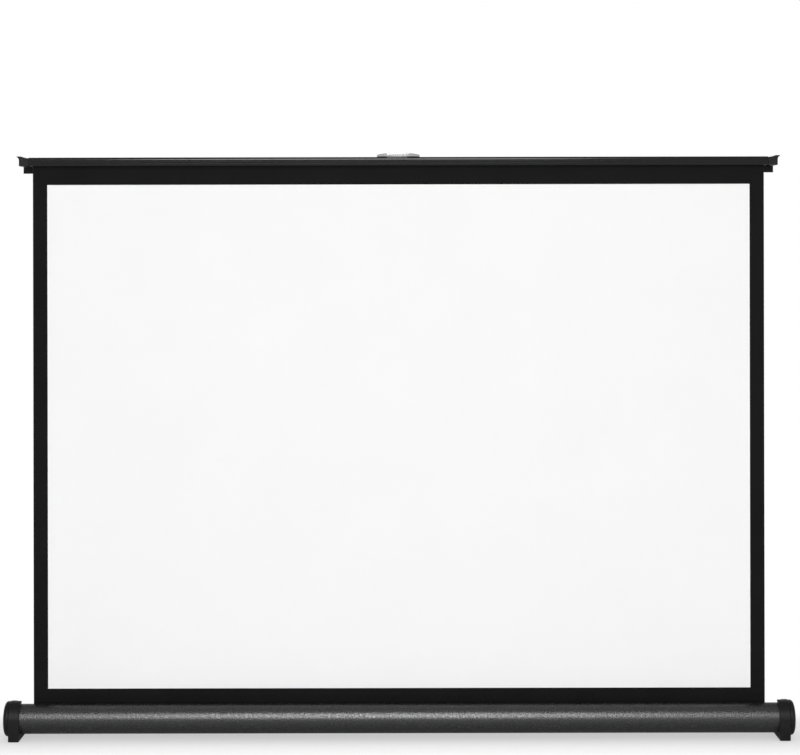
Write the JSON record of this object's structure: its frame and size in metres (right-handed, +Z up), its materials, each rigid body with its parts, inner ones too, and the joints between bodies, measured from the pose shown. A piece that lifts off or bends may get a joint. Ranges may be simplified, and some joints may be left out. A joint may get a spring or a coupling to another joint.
{
  "type": "tabletop projection screen",
  "caption": "Tabletop pull-up projection screen: white fabric with a black border rises from a round-fronted tube on a folding scissor frame and winds back onto a spring roller.",
  "frame": {"origin": "centre of the footprint at table level", "axes": "+X along the tube, to the right as seen from the front; +Y away from the viewer; +Z up"},
  "size_m": [0.9088, 0.08, 0.6763],
  "materials": {
    "powder_coat": "black textured powder coat",
    "cap_plastic": "black moulded plastic, fine texture",
    "white_fabric": "matt white projection coating",
    "black_fabric": "matt black coated fabric",
    "arm_steel": "dark painted steel",
    "pin_steel": "bright zinc-plated steel",
    "silver": "bright silver plating",
    "roller_metal": "drawn aluminium",
    "nylon": "natural nylon",
    "rubber": "soft black rubber"
  },
  "bodies": {
    "base": {"housing": "powder_coat", "end_cap_left": "cap_plastic", "end_cap_right": "cap_plastic", "end_disc_left": "cap_plastic", "end_disc_right": "cap_plastic", "foot_pad_front_left": "rubber", "foot_pad_rear_left": "rubber", "foot_pad_front_right": "rubber", "foot_pad_rear_right": "rubber", "roller_bearing_left": "nylon", "roller_bearing_right": "nylon", "spring_rod": "pin_steel", "screen_backing": "black_fabric", "viewing_surface": "white_fabric", "lower_rail": "arm_steel", "lower_pivot_pin": "pin_steel", "lower_pivot_spacer": "nylon"},
    "roller": {"roller_tube": "roller_metal", "fabric_wraps": "black_fabric", "roller_plug_left": "nylon", "roller_plug_right": "nylon", "roller_spring": "pin_steel"},
    "arm_a1": {"arm_a1": "arm_steel", "lower_centre_pin": "pin_steel", "lower_centre_washer": "nylon", "right_elbow_pin": "pin_steel", "right_elbow_washer": "nylon"},
    "arm_b1": {"arm_b1": "arm_steel", "left_elbow_pin": "pin_steel", "left_elbow_washer": "nylon", "lower_slide_pin": "pin_steel", "lower_slide_bush": "nylon"},
    "arm_a2": {"arm_a2": "arm_steel", "upper_centre_pin": "pin_steel", "upper_centre_washer": "nylon", "upper_slide_pin": "pin_steel", "upper_slide_spacer": "nylon", "upper_slide_bush": "nylon"},
    "arm_b2": {"arm_b2": "arm_steel"},
    "top_bar": {"top_bar": "powder_coat", "bar_end_left": "cap_plastic", "bar_end_right": "cap_plastic", "handle": "silver", "fabric_strip": "cap_plastic", "upper_rail": "arm_steel", "upper_pivot_pin": "pin_steel"}
  },
  "joints": [
    {"name": "scissor_fold", "type": "hinge", "parent": "base", "child": "arm_a1", "pos_m": [-0.09321, -0.0015, 0.0139], "axis": [0, -1, 0], "range_deg": [-58.54, 0], "deforming": ["screen_backing", "viewing_surface"]},
    {"name": "lower_crossing", "type": "hinge", "parent": "arm_a1", "child": "arm_b1", "pos_m": [0, -0.0015, 0.17535], "axis": [0, -1, 0], "range_deg": [-1, 118]},
    {"name": "left_elbow", "type": "hinge", "parent": "arm_b1", "child": "arm_a2", "pos_m": [-0.09321, -0.0015, 0.3368], "axis": [0, -1, 0], "range_deg": [-118, 1]},
    {"name": "upper_crossing", "type": "hinge", "parent": "arm_a2", "child": "arm_b2", "pos_m": [0, -0.0015, 0.49825], "axis": [0, -1, 0], "range_deg": [-1, 118]},
    {"name": "bar_pivot", "type": "hinge", "parent": "arm_b2", "child": "top_bar", "pos_m": [-0.09321, -0.0015, 0.6597], "axis": [0, -1, 0], "range_deg": [-59, 1]},
    {"name": "roller_spin", "type": "hinge", "parent": "base", "child": "roller", "pos_m": [0, -0.0224, 0.0222], "axis": [1, 0, 0], "range_deg": [-3310, 5]}
  ],
  "couplings": [
    {"joint": "lower_crossing", "follows": "scissor_fold", "ratio": -2},
    {"joint": "left_elbow", "follows": "scissor_fold", "ratio": 2},
    {"joint": "upper_crossing", "follows": "scissor_fold", "ratio": -2},
    {"joint": "bar_pivot", "follows": "scissor_fold", "ratio": 1},
    {"joint": "roller_spin", "follows": "scissor_fold", "ratio": 56.41}
  ]
}
